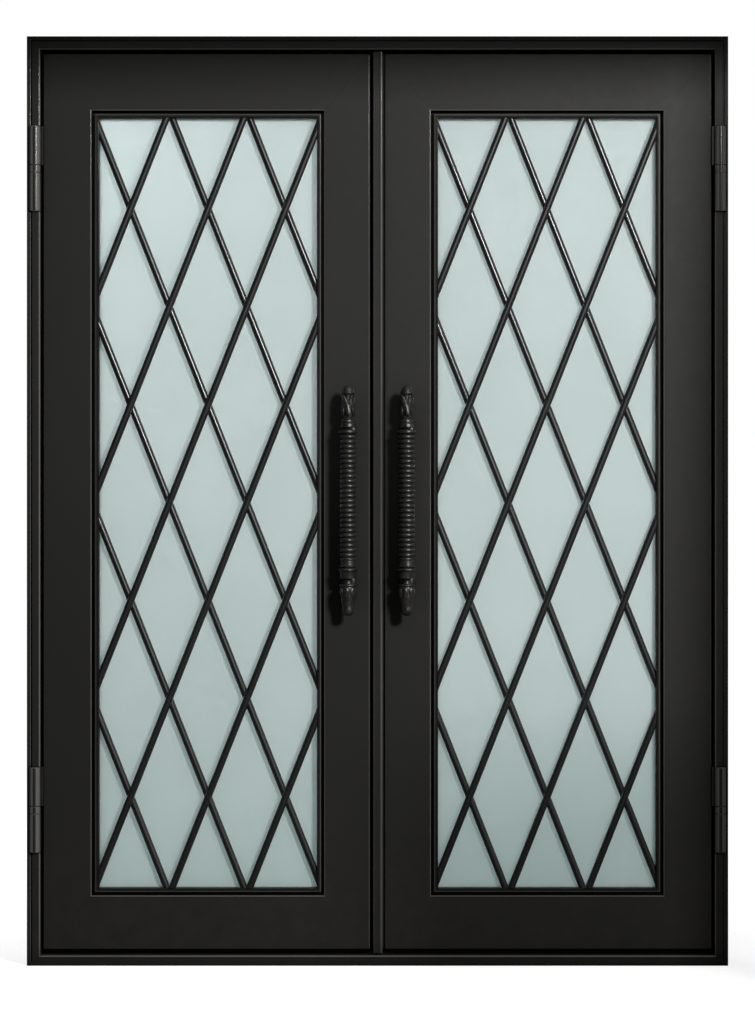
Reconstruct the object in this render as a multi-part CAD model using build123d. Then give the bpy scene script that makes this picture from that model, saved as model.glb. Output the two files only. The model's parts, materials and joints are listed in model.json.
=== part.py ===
from build123d import *
import os

# A pair of welded steel entry doors in their frame, with a diamond grille over frosted glass.
# Sizes are in millimetres. X runs across the doorway and +Z is up. The face with the hinge
# barrels looks along -Y. The origin is on the floor, at the middle of the frame.

# Frame
frame_width = 1562.0
frame_height = 2070.0
frame_depth = 130.0
frame_wall = 2.0
jamb_face = 30.0
stop_width = 20.0
threshold_face = 23.0
strip_width = 9.0
strip_setback = 1.5
groove_width = 3.0
groove_depth = 3.0
frame_corner = 4.0
small_corner = 2.0

# Leaves and the gaps round them
leaf_recess = 12.0
leaf_thickness = 50.0
leaf_wall = 2.0
leaf_corner = 2.5
side_gap = 6.0
top_gap = 8.0
bottom_gap = 13.0
meeting_gap = 34.0
stop_gap = 5.0
hinge_stile = 107.0
meeting_stile = 102.0
top_rail = 126.0
bottom_rail = 119.0

# Diamond grille
cells_across = 3
cells_up = 4
bar_radius = 8.0
bar_setback = 1.0
layer_step = 10.0
lap_clearance = 0.1
surround_groove = 7.0
surround_face = 9.0
surround_setback = 4.0
surround_corner = 2.0
stop_lip = 4.0
lip_setback = 24.0

# Glazing
glass_clearance = 1.0
pane_thickness = 4.0
pane_edge_gap = 3.0
cavity = 8.0
spacer_width = 7.0
block_length = 80.0
block_inset = 88.0

# Hinges
hinge_length = 190.0
hinge_rise = 347.0
hinge_drop = 257.0
barrel_radius = 13.0
barrel_overhang = 0.5
axis_inset = 3.0
pocket_clearance = 1.0
pin_radius = 7.0
pin_clearance = 0.05
knuckle_cap = 8.0
knuckle_chamfer = 1.5
bearing_height = 16.0
bearing_clearance = 0.4
plate_thickness = 5.0
plate_end = 11.0
neck_height = 8.0
neck_setback = 2.0
seat_width = 20.0

# Pulls, measured from the lower tip upwards
pull_height = 1036.0
pull_inset = 48.0
pull_standoff = 52.0
rib_count = 25
rib_pitch = 10.9
rib_radius = 18.5
rib_root = 15.5
tip_height = 24.0
tip_radius = 13.0
tip_waist = 12.0
tip_bow = 3.8
low_bud_height = 46.0
low_bud_radius = 18.0
low_bud_bow = 1.5
rim_height = 6.0
rim_radius = 19.5
rim_foot = 16.5
low_neck_height = 12.0
neck_radius = 10.0
collar_height = 22.0
collar_radius = 18.0
flange_height = 5.0
flange_radius = 22.0
waist_height = 25.0
waist_radius = 16.0
top_ring_height = 10.0
top_ring_radius = 21.0
ring_foot = 17.0
top_neck_height = 5.0
flare_height = 18.0
flare_radius = 16.0
flare_step = 1.5
top_bud_height = 55.0
top_bud_foot = 10.0
top_bud_bow = 5.0
cap_height = 21.0
cap_radius = 14.0
cap_neck = 12.0
cap_flat = 2.0
cap_bow = 4.0
post_radius = 7.0
rose_radius = 15.0
rose_height = 4.0
bolt_radius = 4.0
bolt_reach = 20.0
bolt_clearance = 0.5

# Astragal, seals and sweeps
astragal_face = 20.0
astragal_offset = 1.0
astragal_proud = 6.0
astragal_wall = 2.0
astragal_end_gap = 4.0
astragal_bead = 3.0
bead_proud = 2.0
stem_front = 8.0
stem_back = 7.0
brush_reach = 4.8
brush_width = 8.0
seal_width = 9.0
seal_clearance = 0.5
sweep_width = 6.0
sweep_inset = 5.0
sweep_clearance = 1.0
sweep_setback = 7.0

# Flush bolts, roller catch and anchor holes
flush_radius = 6.0
flush_clearance = 0.05
flush_socket = 0.8
flush_inset = 23.0
flush_travel = 25.0
flush_length = 260.0
flush_end_setback = 2.0
knob_drop = 230.0
knob_radius = 4.0
knob_cap_radius = 8.0
knob_cap_height = 5.0
knob_proud = 14.0
slot_clearance = 1.0
guide_height = 24.0
guide_width = 24.0
guide_drops = (60.0, 175.0)
catch_inset = 90.0
catch_radius = 8.0
catch_length = 50.0
catch_travel = 6.0
catch_nose = 4.0
catch_spring = 18.0
catch_case_width = 24.0
catch_clearance = 0.4
strike_length = 60.0
strike_width = 30.0
strike_thickness = 2.0
strike_dimple = 5.0
anchor_radius = 5.0
anchor_count = 4
anchor_inset = 150.0

# Places worked out from the sizes above
frame_front = -frame_depth / 2
frame_back = frame_depth / 2
outer_x = -frame_width / 2
jamb_x = outer_x + jamb_face
leaf_edge = jamb_x + side_gap
meet_edge = -meeting_gap / 2
leaf_front = frame_front + leaf_recess
leaf_back = leaf_front + leaf_thickness
stop_front = leaf_back + stop_gap
mid_leaf = (leaf_front + leaf_back) / 2
leaf_low = threshold_face + bottom_gap
leaf_high = frame_height - jamb_face - top_gap
open_left = leaf_edge + hinge_stile
open_right = meet_edge - meeting_stile
open_low = leaf_low + bottom_rail
open_high = leaf_high - top_rail
stop_face = jamb_face + stop_width
mitre_slope = threshold_face / jamb_face
threshold_stop = stop_face * mitre_slope
surround_inset = surround_groove + surround_face
lip_front = leaf_front + lip_setback
lip_back = lip_front + stop_lip
outer_glass = lip_back + glass_clearance
cavity_front = outer_glass + pane_thickness
inner_glass = cavity_front + cavity
glass_back = inner_glass + pane_thickness
axis_x = jamb_x + barrel_overhang - barrel_radius
axis_y = frame_front + axis_inset
pocket_back = axis_y + barrel_radius + pocket_clearance
knuckle = (hinge_length - bearing_height - bearing_clearance) / 2
hinge_heights = (hinge_rise, leaf_high - hinge_drop)
anchor_spacing = (frame_height - 2 * anchor_inset) / (anchor_count - 1)
pull_x = meet_edge - pull_inset
grip_height = rib_count * rib_pitch
flush_x = -meet_edge + flush_inset
catch_x = meet_edge - catch_inset


def block(x_limits, y_limits, z_limits):
    """A box between two limits on each axis."""
    limits = (x_limits, y_limits, z_limits)
    middle = [(low + high) / 2 for low, high in limits]
    size = [abs(high - low) for low, high in limits]
    return Pos(*middle) * Box(*size)


def prism(points, y_limits):
    """A polygon drawn in X and Z, carried from one Y to the other."""
    face = Plane.XZ.offset(-y_limits[1]) * Polygon(*points, align=None)
    return extrude(face, y_limits[1] - y_limits[0])


def upright(radius, x, y, z_limits):
    """A round bar that stands along Z."""
    middle = (z_limits[0] + z_limits[1]) / 2
    return Pos(x, y, middle) * Cylinder(radius, z_limits[1] - z_limits[0])


def across(radius, x, z, y_limits):
    """A round bar that lies along Y."""
    middle = (y_limits[0] + y_limits[1]) / 2
    return Pos(x, middle, z) * Rot(90, 0, 0) * Cylinder(radius, y_limits[1] - y_limits[0])


def flip(shape):
    """The same piece on the other side of the doorway."""
    return mirror(shape, about=Plane.YZ)


def group(shapes):
    """Separate solids that share one node."""
    return Compound([solid for shape in shapes for solid in shape.solids()])


def ring(outer, inner, y_limits):
    """A flat picture-frame ring; outer and inner are (left, right, low, high)."""
    left, right, low, high = outer
    body = block((left, right), y_limits, (low, high))
    left, right, low, high = inner
    return body - block((left, right), y_limits, (low, high))


def inset(limits, distance):
    """A rectangle (left, right, low, high) drawn in on all sides."""
    left, right, low, high = limits
    return left + distance, right - distance, low + distance, high - distance


opening = (open_left, open_right, open_low, open_high)


# Frame members: one rebated profile, mitred at the corners

def member_outline(face, stop, stripped):
    """The outside of a frame tube, with its depth along Y and its face along X."""
    step = frame_front + strip_setback
    floor = step + groove_depth
    front = [(0, step), (strip_width, step), (strip_width, floor),
             (strip_width + groove_width, floor), (strip_width + groove_width, frame_front)]
    if not stripped:
        front = [(0, frame_front)]
    rest = [(face, frame_front), (face, stop_front), (stop, stop_front), (stop, frame_back),
            (0, frame_back)]
    outline = Polygon(*front, *rest, align=None)
    soft = outline.vertices().filter_by(lambda v: abs(v.X - face) < 0.01 and v.Y < 0)
    outline = fillet(soft, frame_corner)
    soft = outline.vertices().filter_by(lambda v: abs(v.X - stop) < 0.01)
    if stripped:
        soft += outline.vertices().filter_by(
            lambda v: abs(v.X - strip_width) < 0.01 and v.Y < step + 0.01)
    return fillet(soft, small_corner)


def member_hollow(face, stop):
    """The inside of a frame tube."""
    front = frame_front + strip_setback + groove_depth + frame_wall
    points = [(frame_wall, front), (face - frame_wall, front),
              (face - frame_wall, stop_front + frame_wall),
              (stop - frame_wall, stop_front + frame_wall),
              (stop - frame_wall, frame_back - frame_wall), (frame_wall, frame_back - frame_wall)]
    return Polygon(*points, align=None)


def hinge_span(height):
    """The lower and upper end of a hinge barrel."""
    return height - hinge_length / 2, height + hinge_length / 2


def hinge_pocket(height, grow):
    """The room in a jamb that a hinge barrel lies in, or the liner that walls it."""
    low, high = hinge_span(height)
    side = axis_x - barrel_radius - pocket_clearance - grow
    return block((side, jamb_x), (frame_front, pocket_back + grow),
                 (low - pocket_clearance - grow, high + pocket_clearance + grow))


def jamb():
    """The left jamb, with its hinge pockets and anchor holes."""
    place = Pos(outer_x, 0, 0)
    outside = place * extrude(member_outline(jamb_face, stop_face, True), frame_height)
    tube = outside - place * extrude(member_hollow(jamb_face, stop_face), frame_height)
    for height in hinge_heights:
        tube = tube + (outside & hinge_pocket(height, frame_wall))
    for height in hinge_heights:
        tube = tube - hinge_pocket(height, 0)
    reach = outer_x + stop_face
    mitred = prism([(outer_x, 0), (reach, threshold_stop), (reach, frame_height - stop_face),
                    (outer_x, frame_height)], (frame_front, frame_back))
    tube = tube & mitred
    for step in range(anchor_count):
        place = Pos(outer_x + jamb_face / 2, mid_leaf, anchor_inset + step * anchor_spacing)
        tube = tube - place * Rot(0, 90, 0) * Cylinder(anchor_radius, 2 * jamb_face)
    return tube


def head():
    """The head, cut at 45 degrees to meet the jambs."""
    place = Pos(outer_x, 0, frame_height) * Rot(0, 90, 0)
    outside = extrude(member_outline(jamb_face, stop_face, True), frame_width)
    tube = place * (outside - extrude(member_hollow(jamb_face, stop_face), frame_width))
    inner = -outer_x - stop_face
    low = frame_height - stop_face
    mitred = prism([(outer_x, frame_height), (-inner, low), (inner, low),
                    (-outer_x, frame_height)], (frame_front, frame_back))
    socket = upright(flush_radius + flush_socket, flush_x, mid_leaf,
                     (low, frame_height - jamb_face / 2))
    return (tube & mitred) - socket


def threshold():
    """The threshold, lower than the jambs are wide, so its mitres are flatter."""
    place = Pos(-outer_x, 0, 0) * Rot(0, -90, 0)
    outside = extrude(member_outline(threshold_face, threshold_stop, False), frame_width)
    hollow = extrude(member_hollow(threshold_face, threshold_stop), frame_width)
    tube = place * (outside - hollow)
    inner = -outer_x - stop_face
    mitred = prism([(outer_x, 0), (-outer_x, 0), (inner, threshold_stop),
                    (-inner, threshold_stop)], (frame_front, frame_back))
    socket = upright(flush_radius + flush_socket, flush_x, mid_leaf,
                     (threshold_face / 2, threshold_stop))
    return (tube & mitred) - socket


def weatherseal():
    """Strips on the front of the stops, which the closed leaves come up against."""
    depth = (leaf_back + seal_clearance, stop_front)
    side = outer_x + stop_face - small_corner
    top = frame_height - stop_face + small_corner
    post = block((side - seal_width, side), depth, (threshold_stop, top))
    lintel = block((side - seal_width, -side + seal_width), depth, (top, top + seal_width))
    return group([post, flip(post), lintel])


# Hinges: the frame half below, the leaf half above, and a bearing between them

def knuckle_barrel(low, high):
    """A round knuckle with eased ends."""
    barrel = upright(barrel_radius, axis_x, axis_y, (low, high))
    return chamfer(barrel.edges().filter_by(GeomType.CIRCLE), knuckle_chamfer)


def frame_half(height):
    """The lower knuckle, on a seat that is welded into the back of its pocket."""
    low = hinge_span(height)[0]
    high = low + knuckle
    seat = block((axis_x - seat_width / 2, axis_x + seat_width / 2), (axis_y, pocket_back),
                 (low, high))
    bore = upright(pin_radius, axis_x, axis_y, (low + knuckle_cap, high))
    return knuckle_barrel(low, high) + seat - bore


def hinge_pin(height):
    """The pin, seated in the frame half and free in the leaf half."""
    low, high = hinge_span(height)
    return upright(pin_radius, axis_x, axis_y, (low + knuckle_cap, high - 2 * knuckle_cap))


def bearing(height):
    """The thrust bearing that carries the leaf half."""
    low = hinge_span(height)[0] + knuckle
    body = upright(barrel_radius, axis_x, axis_y, (low, low + bearing_height))
    body = chamfer(body.edges().filter_by(GeomType.CIRCLE), knuckle_chamfer / 2)
    return body - upright(pin_radius + pin_clearance, axis_x, axis_y, (low, low + bearing_height))


def leaf_half(height):
    """The upper knuckle, with a neck and a plate that is welded to the leaf's edge."""
    high = hinge_span(height)[1]
    low = high - knuckle
    front = axis_y + neck_setback
    neck = block((axis_x, leaf_edge - plate_thickness / 2), (front, front + neck_height),
                 (low, high))
    plate = block((leaf_edge - plate_thickness, leaf_edge), (front, leaf_back - plate_end),
                  (low, high))
    bore = upright(pin_radius + pin_clearance, axis_x, axis_y, (low, high - knuckle_cap))
    return knuckle_barrel(low, high) + neck + plate - bore


# Leaf: four mitred tubes round the glazed opening

def leaf_tube(width, length):
    """A rounded tube that stands along Z on the origin, with its width along X."""
    outside = RectangleRounded(width, leaf_thickness, leaf_corner)
    inside = RectangleRounded(width - 2 * leaf_wall, leaf_thickness - 2 * leaf_wall,
                              leaf_corner - leaf_wall)
    return extrude(outside - inside, length)


def stile(x_limits, outline):
    """An upright side of the leaf."""
    middle = (x_limits[0] + x_limits[1]) / 2
    tube = leaf_tube(x_limits[1] - x_limits[0], leaf_high - leaf_low)
    return Pos(middle, mid_leaf, leaf_low) * tube & prism(outline, (leaf_front, leaf_back))


def rail(z_limits, outline):
    """A level side of the leaf."""
    middle = (z_limits[0] + z_limits[1]) / 2
    tube = leaf_tube(z_limits[1] - z_limits[0], meet_edge - leaf_edge)
    place = Pos(leaf_edge, mid_leaf, middle) * Rot(0, 90, 0)
    return place * tube & prism(outline, (leaf_front, leaf_back))


def leaf_frame():
    """The four tubes of the left leaf, by name."""
    outer = [(leaf_edge, leaf_low), (meet_edge, leaf_low), (meet_edge, leaf_high),
             (leaf_edge, leaf_high)]
    inner = [(open_left, open_low), (open_right, open_low), (open_right, open_high),
             (open_left, open_high)]
    tubes = {
        "hinge_stile": stile((leaf_edge, open_left), [outer[0], inner[0], inner[3], outer[3]]),
        "meeting_stile": stile((open_right, meet_edge), [outer[1], outer[2], inner[2], inner[1]]),
        "top_rail": rail((open_high, leaf_high), [outer[3], inner[3], inner[2], outer[2]]),
        "bottom_rail": rail((leaf_low, open_low), [outer[0], outer[1], inner[1], inner[0]]),
    }
    for height in post_heights():
        hole = across(bolt_radius + bolt_clearance, pull_x, height, (leaf_front, leaf_back))
        tubes["meeting_stile"] = tubes["meeting_stile"] - hole
    return tubes


def sweep():
    """The strip under a leaf that closes the gap over the threshold."""
    back = leaf_back - sweep_setback
    return block((leaf_edge + sweep_inset, meet_edge - sweep_inset), (back - sweep_width, back),
                 (leaf_low - bottom_gap + sweep_clearance, leaf_low))


# Glazing: a stop, two panes with a spacer between them, and a bead that holds them

def glazing():
    """The glazed unit of the left leaf and what seats it, by name."""
    pane = inset(opening, pane_edge_gap)
    bead = inset(opening, surround_inset)
    whole = block(pane[:2], (outer_glass, cavity_front), pane[2:])
    return {
        "glazing_stop": ring(opening, bead, (lip_front, outer_glass)),
        "outer_pane": whole,
        "pane_spacer": ring(pane, inset(pane, spacer_width), (cavity_front, inner_glass)),
        "inner_pane": Pos(0, inner_glass - outer_glass, 0) * whole,
        "glazing_bead": ring(opening, bead, (glass_back, leaf_back)),
        "setting_blocks": setting_blocks(),
    }


def setting_blocks():
    """Two packers that carry the panes on the bottom rail."""
    height = (open_low, open_low + pane_edge_gap)
    low = open_left + block_inset
    first = block((low, low + block_length), (outer_glass, glass_back), height)
    high = open_right - block_inset
    second = block((high - block_length, high), (outer_glass, glass_back), height)
    return group([first, second])


# Grille: two layers of round bar, lapped and welded at each crossing

def grille_surround():
    """The slim bar inside the opening that the grille's bars end on."""
    outer = inset(opening, surround_groove)
    body = ring(outer, inset(opening, surround_inset), (leaf_front + surround_setback, lip_front))
    front = body.faces().sort_by(Axis.Y)[0]
    return fillet(front.edges(), surround_corner)


def lattice_bars(limits, depth, radius, rising):
    """One layer of parallel bars; rising bars go up to the right."""
    left, right, low, high = limits
    cell_width = (right - left) / cells_across
    cell_height = (high - low) / cells_up
    lean = 1 if rising else -1
    direction = Vector(lean * cell_width, 0, cell_height)
    foot = left if rising else right
    length = 2 * (high - low)
    bars = []
    for step in range(1 - cells_across, cells_up):
        start = Vector(foot, depth, low + step * cell_height)
        bars.append(Plane(start, z_dir=direction) * Cylinder(radius, length))
    return bars


def grille(limits):
    """The front and rear bars inside one leaf's opening."""
    clear = inset(limits, surround_inset)
    space = block(clear[:2], (leaf_front, leaf_back), clear[2:])
    depth = leaf_front + bar_setback + bar_radius
    front = [bar & space for bar in lattice_bars(limits, depth, bar_radius, True)]
    notches = lattice_bars(limits, depth, bar_radius + lap_clearance, True)
    rear = []
    for bar in lattice_bars(limits, depth + layer_step, bar_radius, False):
        bar = bar & space
        for notch in notches:
            bar = bar - notch
        rear.append(bar)
    return group(front), group(rear)


# Pull: turned and ribbed, on two posts, with a bud at each end

def turned(stations):
    """A solid turned about Z from (radius, height, bow) stations; bow swells the stretch."""
    edges = []
    for (radius, height, _), (next_radius, next_height, bow) in zip(stations, stations[1:]):
        start = (radius, height)
        end = (next_radius, next_height)
        edges.append(SagittaArc(start, end, bow) if bow else Line(start, end))
    first, last = stations[0], stations[-1]
    edges += [Line((last[0], last[1]), (0, last[1])), Line((0, last[1]), (0, first[1]))]
    if first[0] > 0:
        edges.append(Line((0, first[1]), (first[0], first[1])))
    return revolve(Plane.XZ * make_face(edges), Axis.Z)


def pull_levels():
    """Heights above the lower tip where each stretch of the pull starts."""
    stretches = [tip_height, low_bud_height, low_neck_height, collar_height, waist_height,
                 grip_height, top_ring_height, top_neck_height, flare_height, top_bud_height,
                 cap_height]
    levels = [0.0]
    for stretch in stretches:
        levels.append(levels[-1] + stretch)
    return levels


def neck_middles():
    """Heights above the lower tip of the two necks, where the posts are."""
    levels = pull_levels()
    return (levels[2] + levels[3]) / 2, (levels[7] + levels[8]) / 2


def post_heights():
    """Heights of the two posts above the floor."""
    foot = pull_height - pull_levels()[-1] / 2
    return [foot + middle for middle in neck_middles()]


def bead(foot, crest, low, high):
    """Stations of a rounded ring that swells from one radius to another and back."""
    return [(foot, low, 0), (foot, high, foot - crest)]


def lower_stations(levels):
    """The lower bud: a ball, a widening leaf and a rim, up to the neck."""
    tip, bud, neck = levels[:3]
    rim = neck - rim_height
    return [(0, tip, 0), (tip_radius, tip + tip_radius, -tip_bow), (tip_waist, bud, 0),
            (low_bud_radius, rim, low_bud_bow), *bead(rim_foot, rim_radius, rim, neck)]


def collar_stations(levels):
    """The lower neck, the collar with its flange and the waist under the ribs."""
    neck, collar, waist, grip = levels
    flange = waist - flange_height
    return [(neck_radius, neck, 0), (neck_radius, collar, 0), (collar_radius, collar, 0),
            *bead(collar_radius, flange_radius, flange, waist), (waist_radius, waist, 0),
            (waist_radius, grip, 0)]


def rib_stations(grip, end):
    """The ribs that give the hand its hold."""
    stations = []
    for rib in range(rib_count):
        low = grip + rib * rib_pitch
        stations += [(rib_root, low, 0), (rib_radius, low + rib_pitch / 2, 0)]
    return stations + [(rib_root, end, 0)]


def upper_stations(levels):
    """The top ring, the upper neck, a stepped flare, the upper bud and its cap."""
    ring, neck, flare, bud, cap, end = levels
    step = (flare + bud) / 2
    inner = flare_radius - flare_step
    return [*bead(ring_foot, top_ring_radius, ring, neck), (neck_radius, neck, 0),
            (neck_radius, flare, 0), (flare_radius, flare, 0), (flare_radius, step, 0),
            (inner, step, 0), (inner, bud, 0), (top_bud_foot, bud, 0),
            (cap_neck, cap, -top_bud_bow), (cap_radius, cap, 0), (cap_flat, end, -cap_bow)]


def pull():
    """A pull that stands along Z from its lower tip, with posts towards +Y."""
    levels = pull_levels()
    stations = lower_stations(levels[:3]) + collar_stations(levels[2:6])
    stations += rib_stations(levels[5], levels[6]) + upper_stations(levels[6:])
    body = turned(stations)
    for middle in neck_middles():
        body = body + across(post_radius, 0, middle, (0, pull_standoff))
        body = body + across(rose_radius, 0, middle, (pull_standoff - rose_height, pull_standoff))
        body = body - across(bolt_radius, 0, middle, (pull_standoff - bolt_reach, pull_standoff))
    return body


def pull_pair():
    """The outer and inner pull of the left leaf and the bolts between them."""
    foot = pull_height - pull_levels()[-1] / 2
    shape = pull()
    outer = Pos(pull_x, leaf_front - pull_standoff, foot) * shape
    inner = Pos(pull_x, leaf_back + pull_standoff, foot) * Rot(0, 0, 180) * shape
    reach = (leaf_front - bolt_reach, leaf_back + bolt_reach)
    bolts = group([across(bolt_radius, pull_x, height, reach) for height in post_heights()])
    return {"outer_pull": outer, "inner_pull": inner, "pull_bolts": bolts}


# Right leaf: the astragal and the two flush bolts

def astragal():
    """The tube that covers the meeting gap, on a stem from the right leaf's edge."""
    left = astragal_offset - astragal_face / 2
    right = astragal_offset + astragal_face / 2
    depth = (leaf_front - astragal_proud, leaf_back)
    height = (leaf_low - bottom_gap + astragal_end_gap, leaf_high + top_gap - astragal_end_gap)
    body = block((left, right), depth, height)
    sharp = (right, depth[0], (height[0] + height[1]) / 2)
    soft = body.edges().filter_by(Axis.Z).sort_by_distance(sharp)[1:]
    body = fillet(soft, small_corner)
    bead_x = right - astragal_bead
    bead_y = depth[0] + astragal_bead - bead_proud
    body = body - block((bead_x, right), (depth[0], bead_y), height)
    body = body + upright(astragal_bead, bead_x, bead_y, height)
    wall = astragal_wall
    body = body - block((left + wall, right - wall), (depth[0] + wall, depth[1] - wall), height)
    stem = block((right, -meet_edge), (leaf_front + stem_front, leaf_back - stem_back),
                 (leaf_low, leaf_high))
    return body + stem


def astragal_brush():
    """The pile strip on the astragal that faces the left leaf."""
    face = astragal_offset - astragal_face / 2
    return block((face - brush_reach, face), (mid_leaf - brush_width / 2, mid_leaf + brush_width / 2),
                 (leaf_low, leaf_high))


def flush_bolt(end, side):
    """A bolt rod in the right meeting stile; side is 1 at the top and -1 at the bottom."""
    tip = end - side * flush_end_setback
    tail = tip - side * flush_length
    rod = upright(flush_radius, flush_x, mid_leaf, (min(tip, tail), max(tip, tail)))
    ends = rod.edges().filter_by(GeomType.CIRCLE)
    rod = chamfer(ends, flush_radius / 4)
    height = end - side * knob_drop
    reach = leaf_back + knob_proud
    stem = across(knob_radius, flush_x, height, (mid_leaf, reach))
    cap = across(knob_cap_radius, flush_x, height, (reach - knob_cap_height, reach))
    return rod + stem + cap


def knob_slot(end, side):
    """The slot in the back of the stile that the knob slides in."""
    height = end - side * knob_drop
    far = height + side * flush_travel
    half = knob_radius + slot_clearance
    low, high = min(height, far), max(height, far)
    depth = (mid_leaf, leaf_back)
    slot = block((flush_x - half, flush_x + half), depth, (low, high))
    return slot + across(half, flush_x, low, depth) + across(half, flush_x, high, depth)


def flush_guides():
    """Blocks in the right stile that the bolt rods run in."""
    guides = []
    half = guide_width / 2
    depth = (leaf_front + leaf_wall, leaf_back - leaf_wall)
    for end, side in ((leaf_high, 1), (leaf_low, -1)):
        for drop in guide_drops:
            middle = end - side * drop
            span = (middle - guide_height / 2, middle + guide_height / 2)
            body = block((flush_x - half, flush_x + half), depth, span)
            guides.append(body - upright(flush_radius + flush_clearance, flush_x, mid_leaf, span))
    return group(guides)


# Roller catch in the left leaf's top rail, and its strike under the head

def catch_span():
    """The lower and upper end of the catch pin."""
    top = leaf_high + top_gap - strike_thickness - catch_clearance
    return top - catch_length, top


def catch_pin():
    """The sprung pin, with a bevelled nose that rides up on the strike."""
    rod = upright(catch_radius, catch_x, mid_leaf, catch_span())
    return chamfer(rod.edges().group_by(Axis.Z)[-1], catch_nose)


def catch_case():
    """The case that the pin slides in, below the top rail's upper wall."""
    top = leaf_high - leaf_wall
    half = catch_case_width / 2
    bottom = catch_span()[0] - catch_travel - catch_spring
    low = bottom - leaf_wall
    depth = (leaf_front + leaf_wall, leaf_back - leaf_wall)
    body = block((catch_x - half, catch_x + half), depth, (low, top))
    body = fillet(body.edges().filter_by(Axis.X).group_by(Axis.Z)[-1], leaf_corner - leaf_wall)
    bore = upright(catch_radius + flush_clearance, catch_x, mid_leaf, (bottom, top))
    return body - bore


def strike():
    """The plate under the head, with a dimple over the catch."""
    top = leaf_high + top_gap
    plate = block((catch_x - strike_length / 2, catch_x + strike_length / 2),
                  (mid_leaf - strike_width / 2, mid_leaf + strike_width / 2),
                  (top - strike_thickness, top))
    return plate - upright(strike_dimple, catch_x, mid_leaf, (top - strike_thickness, top))


# All the pieces, by node name

def frame_nodes():
    """The fixed pieces."""
    left = jamb()
    nodes = {"left_jamb": left, "right_jamb": flip(left), "head_jamb": head(),
             "threshold": threshold(), "frame_weatherseal": weatherseal(),
             "catch_strike": strike()}
    bearings = []
    for place, height in zip(("lower", "upper"), hinge_heights):
        half = frame_half(height)
        pin = hinge_pin(height)
        nodes["left_" + place + "_hinge_frame_half"] = half
        nodes["right_" + place + "_hinge_frame_half"] = flip(half)
        nodes["left_" + place + "_hinge_pin"] = pin
        nodes["right_" + place + "_hinge_pin"] = flip(pin)
        bearings += [bearing(height), flip(bearing(height))]
    nodes["hinge_bearings"] = group(bearings)
    return nodes


def leaf_nodes():
    """The pieces of both leaves; the right leaf's are the left one's turned over."""
    shared = {**leaf_frame(), **glazing(), **pull_pair(), "bottom_sweep": sweep(),
              "grille_surround": grille_surround()}
    for place, height in zip(("lower", "upper"), hinge_heights):
        shared[place + "_hinge_leaf_half"] = leaf_half(height)
    nodes = {}
    for name, shape in shared.items():
        nodes["left_" + name] = shape
        nodes["right_" + name] = flip(shape)
    left, right, low, high = opening
    nodes["left_front_bars"], nodes["left_rear_bars"] = grille(opening)
    nodes["right_front_bars"], nodes["right_rear_bars"] = grille((-right, -left, low, high))
    return nodes


def fit_bolts(nodes):
    """The flush bolts and the catch, with the holes that they pass through."""
    nodes["right_astragal"] = astragal()
    nodes["astragal_brush"] = astragal_brush()
    nodes["right_bolt_guides"] = flush_guides()
    nodes["left_catch_case"] = catch_case()
    nodes["catch_pin"] = catch_pin()
    room = flush_radius + flush_socket
    for place, end, side in (("top", leaf_high, 1), ("bottom", leaf_low, -1)):
        nodes[place + "_flush_bolt"] = flush_bolt(end, side)
        stile_name = "right_meeting_stile"
        nodes[stile_name] = nodes[stile_name] - knob_slot(end, side)
        rail_name = "right_" + place + "_rail"
        reach = sorted((end - side * 2 * leaf_wall, end))
        nodes[rail_name] = nodes[rail_name] - upright(room, flush_x, mid_leaf, reach)
    hole = upright(catch_radius + slot_clearance, catch_x, mid_leaf,
                   (leaf_high - 2 * leaf_wall, leaf_high))
    nodes["left_top_rail"] = nodes["left_top_rail"] - hole
    return nodes


def main():
    """Builds every piece and writes one file for each."""
    os.makedirs("parts", exist_ok=True)
    nodes = fit_bolts({**frame_nodes(), **leaf_nodes()})
    for name, shape in nodes.items():
        export_step(shape, "parts/" + name + ".step")
    print(len(nodes), "pieces")


main()
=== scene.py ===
# %% [markdown]
# # A pair of steel entry doors
#
# These doors are welded from steel tube and sprayed with a satin near-black coat. Each leaf
# holds a diamond grille of round bar in front of frosted glass, and carries a ribbed iron pull.
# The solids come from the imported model, in metres, and stay where they are. This lesson gives
# them their finishes, models the parts that a maker would turn or carve, and lights the result.

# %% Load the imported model
import json
import math
import bpy
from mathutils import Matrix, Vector


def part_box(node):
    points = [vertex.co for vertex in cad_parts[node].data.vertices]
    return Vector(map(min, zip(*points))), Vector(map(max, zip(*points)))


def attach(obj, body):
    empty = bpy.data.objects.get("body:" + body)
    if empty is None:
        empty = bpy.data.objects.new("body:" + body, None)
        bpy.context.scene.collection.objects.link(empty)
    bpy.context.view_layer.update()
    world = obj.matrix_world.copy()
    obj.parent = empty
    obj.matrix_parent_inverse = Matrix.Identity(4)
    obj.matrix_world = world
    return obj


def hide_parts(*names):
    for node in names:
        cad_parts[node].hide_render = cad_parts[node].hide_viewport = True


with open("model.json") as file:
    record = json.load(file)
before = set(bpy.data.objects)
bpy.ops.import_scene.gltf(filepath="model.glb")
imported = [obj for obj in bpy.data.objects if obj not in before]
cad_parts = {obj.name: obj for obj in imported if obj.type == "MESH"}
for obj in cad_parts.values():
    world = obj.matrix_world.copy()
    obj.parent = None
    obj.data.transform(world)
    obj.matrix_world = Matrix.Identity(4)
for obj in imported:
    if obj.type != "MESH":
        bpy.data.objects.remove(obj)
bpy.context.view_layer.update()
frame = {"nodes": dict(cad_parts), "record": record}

nodes = frame["nodes"]

# %% [markdown]
# ## A short way to write nodes
#
# A finish is a small network of shader nodes. Written out in full, the wires hide what the
# network does. The helper `put` adds one node, and each of its sockets gets either a number or
# another node's output, so that a finish reads from top to bottom like a recipe.

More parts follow.
